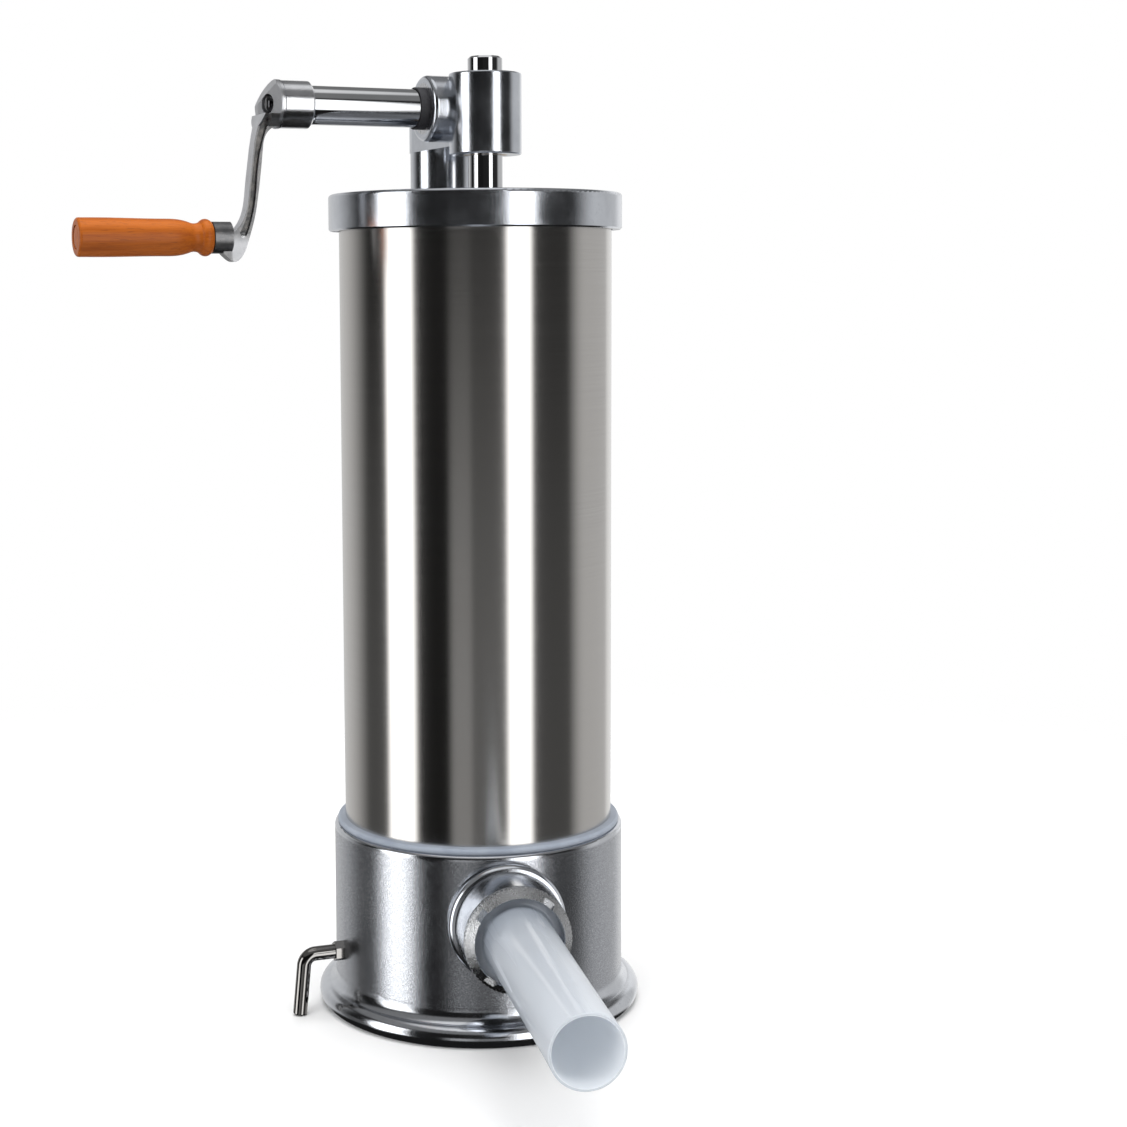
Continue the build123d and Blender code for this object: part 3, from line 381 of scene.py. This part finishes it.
def beech():
    """Lacquered beech: fine lengthwise grain with the short dark flecks beech shows."""
    made, t = new_material("beech")
    along = (0, 0, -HEAD_TURN)
    bands = t.noise(t.place((9, 150, 150), along), 1.0, 4.0, 0.6, 0.4)
    fibre = t.noise(t.place((60, 1500, 1500), along), 1.0, 2.0, 0.6)
    fleck_field = t.noise(t.place((160, 1900, 1900), along), 1.0, 1.0)
    fleck = t.remap(fleck_field, 0.62, 0.72)
    warm = t.mix(t.remap(bands, 0.34, 0.66), rgb(0.27, 0.056, 0.004), rgb(0.43, 0.106, 0.008))
    warm = t.mix(t.math("MULTIPLY", t.remap(fibre, 0.4, 0.7), 0.35), warm, rgb(0.50, 0.14, 0.014))
    colour = t.mix(t.math("MULTIPLY", fleck, 0.55), warm, rgb(0.17, 0.042, 0.007))
    finish_material(
        t, Base_Color=colour, Roughness=t.remap(fibre, 0.3, 0.7, 0.34, 0.46),
        Coat_Weight=0.12, Coat_Roughness=0.22, IOR=1.5, Specular_IOR_Level=0.22,
        Normal=t.bump(t.math("SUBTRACT", fibre, t.math("MULTIPLY", fleck, 0.6)),
                      0.25, 0.00006))
    return made


MATERIALS = {
    "brushed_stainless": brushed_stainless(),
    "cast_aluminium": cast_aluminium("cast_aluminium", rgb(0.70, 0.735, 0.79), 0.24, 0.9, 0.5),
    "polished_aluminium": cast_aluminium("polished_aluminium", rgb(0.76, 0.79, 0.845),
                                         0.16, 0.6, 0.35),
    "chromed_steel": chrome("chromed_steel", rgb(0.74, 0.75, 0.77), 0.05),
    "dark_chrome": chrome("dark_chrome", rgb(0.30, 0.29, 0.28), 0.08),
    "dark_screw": chrome("dark_screw", rgb(0.07, 0.07, 0.075), 0.16),
    "turned_aluminium": turned("turned_aluminium", rgb(0.80, 0.81, 0.83), 0.24),
    "bronze": turned("bronze", rgb(0.62, 0.42, 0.20), 0.28),
    "steel": turned("steel", rgb(0.52, 0.52, 0.53), 0.26),
    "milky_plastic": milky_plastic(),
    "silicone": silicone(),
    "dark_rubber": dark_rubber(),
    "beech": beech(),
}
# Castings with more than one finish on them.
OWN_MATERIALS = {
    "base_casting": base_aluminium(),
    "crank_arm": arm_aluminium(),
    "ring_nut": nut_aluminium(),
}

for part in frame["record"]["subparts"]:
    mesh = NODES[part["node"]].data
    mesh.materials.clear()
    mesh.materials.append(OWN_MATERIALS.get(part["node"], MATERIALS[part["material_slot"]]))


# ---- plug in the grip ------------------------------------------------------------------
PLUG_R = 0.0065
PLUG_SEGMENTS = 72
# Depth below the grip's end and share of the radius, from the crown's middle to the back.
PLUG_PROFILE = ((0.00010, 0.0), (0.00012, 0.35), (0.00018, 0.70), (0.00030, 0.90),
                (0.00055, 1.0), (0.00310, 1.0), (0.00310, 0.0))


def make_plug():
    """A turned wooden button that closes the grip over the spindle's head."""
    joint = next(j for j in frame["joints"] if j["name"] == "grip_spin")
    axis, start = Vector(joint["axis"]).normalized(), Vector(joint["pos_m"])
    end = max((v.co - start).dot(axis) for v in NODES["grip"].data.vertices)
    side = axis.cross(Vector((0, 0, 1))).normalized()
    up = side.cross(axis)
    shape = bmesh.new()
    rings = []
    for depth, share in PLUG_PROFILE:
        middle = start + axis * (end - depth)
        if share == 0.0:
            rings.append([shape.verts.new(middle)])
            continue
        angles = [2 * pi * k / PLUG_SEGMENTS for k in range(PLUG_SEGMENTS)]
        rings.append([shape.verts.new(middle + (side * cos(a) + up * sin(a)) * PLUG_R * share)
                      for a in angles])
    for inner, outer in zip(rings, rings[1:]):
        for k in range(PLUG_SEGMENTS):
            n = (k + 1) % PLUG_SEGMENTS
            corners = [inner[k % len(inner)], inner[n % len(inner)],
                       outer[n % len(outer)], outer[k % len(outer)]]
            face = shape.faces.new(list(dict.fromkeys(corners)))
            face.smooth = outer is not rings[-1]
    bmesh.ops.recalc_face_normals(shape, faces=shape.faces)
    mesh = bpy.data.meshes.new("grip_plug")
    shape.to_mesh(mesh)
    shape.free()
    mesh.materials.append(MATERIALS["beech"])
    plug = bpy.data.objects.new("grip_plug", mesh)
    SCENE.collection.objects.link(plug)
    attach(plug, "grip")


make_plug()


# ---- floor, backdrop and light ---------------------------------------------------------
FLOOR_R = 1.6
BACKDROP = 1.0


def make_floor():
    """A pale disc that fades into the backdrop; metal reflects the studio instead of it."""
    made, t = new_material("floor")
    at = t.node("ShaderNodeTexCoord").outputs["Object"]
    distance = t.node("ShaderNodeVectorMath", {0: at}, operation="LENGTH").outputs["Value"]
    fade = t.remap(distance, 0.25, 0.95, smooth=True)
    pale = t.node("ShaderNodeBsdfDiffuse", {"Color": rgb(0.90, 0.90, 0.90)}).outputs[0]
    clear = t.node("ShaderNodeBsdfTransparent").outputs[0]
    both = t.node("ShaderNodeMixShader", {0: fade, 1: pale, 2: clear}).outputs[0]
    t.out(both)
    bpy.ops.mesh.primitive_circle_add(vertices=96, radius=FLOOR_R, fill_type="NGON")
    floor = bpy.context.active_object
    floor.name = "floor"
    floor.data.materials.append(made)
    floor.visible_glossy = False


# Light panels of the studio, as bearings seen from the cylinder: centre, half width,
# softness, brightness, and the height of the top edge (the ray's rise) with its softness.
# Bearings are degrees about Z from +X.
PANELS = (
    (192.4, 13.3, 3.0, 2.6, 0.47, 0.05),
    (296.3, 10.8, 2.2, 2.4, 0.47, 0.05),
    (95.0, 35.0, 33.0, 0.66, 0.47, 0.10),
    (26.0, 34.0, 13.0, 0.58, 0.47, 0.10),
    (58.0, 14.0, 12.0, 0.90, 0.47, 0.10),
    (266.0, 24.0, 10.0, 0.018, 0.47, 0.10),
    (328.0, 22.0, 8.0, 0.028, 0.47, 0.10),
    (247.0, 9.0, 4.0, 0.38, -0.070, 0.040),
    (264.0, 22.0, 6.0, 0.19, -0.070, 0.040),
    (328.0, 20.0, 8.0, 0.095, -0.070, 0.060),
    (150.0, 30.0, 8.0, 0.10, -0.070, 0.060),
)
DARK_WALL = 0.012
MIN_CORE = 0.5                # degrees of full brightness either side of a panel's middle
FLOOR_LINE = (-0.52, -0.40)   # rise of a ray at which the panels fade out and are full
SKY = (0.50, 0.66, 0.20)      # rise at which it starts and is full, and its brightness
OVERHEAD = (0.88, 0.94, 0.65)


def make_world():
    world = bpy.data.worlds.new("studio")
    SCENE.world = world
    world.use_nodes = True
    t = Tree(world.node_tree)
    direction = t.node("ShaderNodeTexCoord").outputs["Generated"]
    x, y, z = t.axes(direction)
    across = t.math("SQRT", t.math("ADD", t.math("MULTIPLY", x, x), t.math("MULTIPLY", y, y)))
    across = t.math("MAXIMUM", across, 0.0001)
    flat_x, flat_y = t.math("DIVIDE", x, across), t.math("DIVIDE", y, across)
    light = DARK_WALL
    for bearing, half, soft, bright, top, top_soft in PANELS:
        a = radians(bearing)
        facing = t.math("ADD", t.math("MULTIPLY", flat_x, cos(a)),
                        t.math("MULTIPLY", flat_y, sin(a)))
        inside = t.remap(facing, cos(radians(half + soft)),
                         cos(radians(max(half - soft, MIN_CORE))), 0.0, bright, smooth=True)
        below = t.remap(z, top + top_soft, top - top_soft, smooth=True)
        light = t.math("MAXIMUM", light, t.math("MULTIPLY", inside, below))
    above_floor = t.remap(z, *FLOOR_LINE, smooth=True)
    light = t.math("MAXIMUM", t.math("MULTIPLY", light, above_floor), DARK_WALL)
    for start, full, bright in (SKY, OVERHEAD):
        light = t.math("ADD", light, t.remap(z, start, full, 0.0, bright, smooth=True))
    studio = t.node("ShaderNodeBackground", {"Color": rgb(1.0, 1.0, 1.0), "Strength": light})
    plain = t.node("ShaderNodeBackground", {"Color": rgb(1.0, 1.0, 1.0), "Strength": BACKDROP})
    seen = t.node("ShaderNodeLightPath").outputs["Is Camera Ray"]
    both = t.node("ShaderNodeMixShader", {0: seen, 1: studio.outputs[0], 2: plain.outputs[0]})
    t.node("ShaderNodeOutputWorld", {"Surface": both.outputs[0]})


def make_light(name, place, aim, size, watts):
    """A soft area light that fills the shadows without showing in the metal."""
    data = bpy.data.lights.new(name, "AREA")
    data.shape, data.size, data.size_y, data.energy = "RECTANGLE", size[0], size[1], watts
    lamp = bpy.data.objects.new(name, data)
    lamp.matrix_world = (Matrix.Translation(place)
                         @ (Vector(aim) - Vector(place)).to_track_quat("-Z", "Y")
                         .to_matrix().to_4x4())
    lamp.visible_glossy = False
    SCENE.collection.objects.link(lamp)


make_camera()
make_floor()
make_world()
make_light("overhead", (0.0, -0.1, 2.2), (0, 0, 0.2), (2.4, 2.4), 52.0)
make_light("key", (-1.5, -1.5, 1.5), (0, 0, 0.3), (1.2, 1.6), 20.0)
make_light("fill", (1.6, -1.2, 1.1), (0, 0, 0.25), (1.2, 1.4), 14.0)
make_light("rear", (0.5, 1.9, 1.3), (0, 0, 0.3), (1.4, 1.2), 12.0)
SCENE.view_settings.view_transform = "Standard"
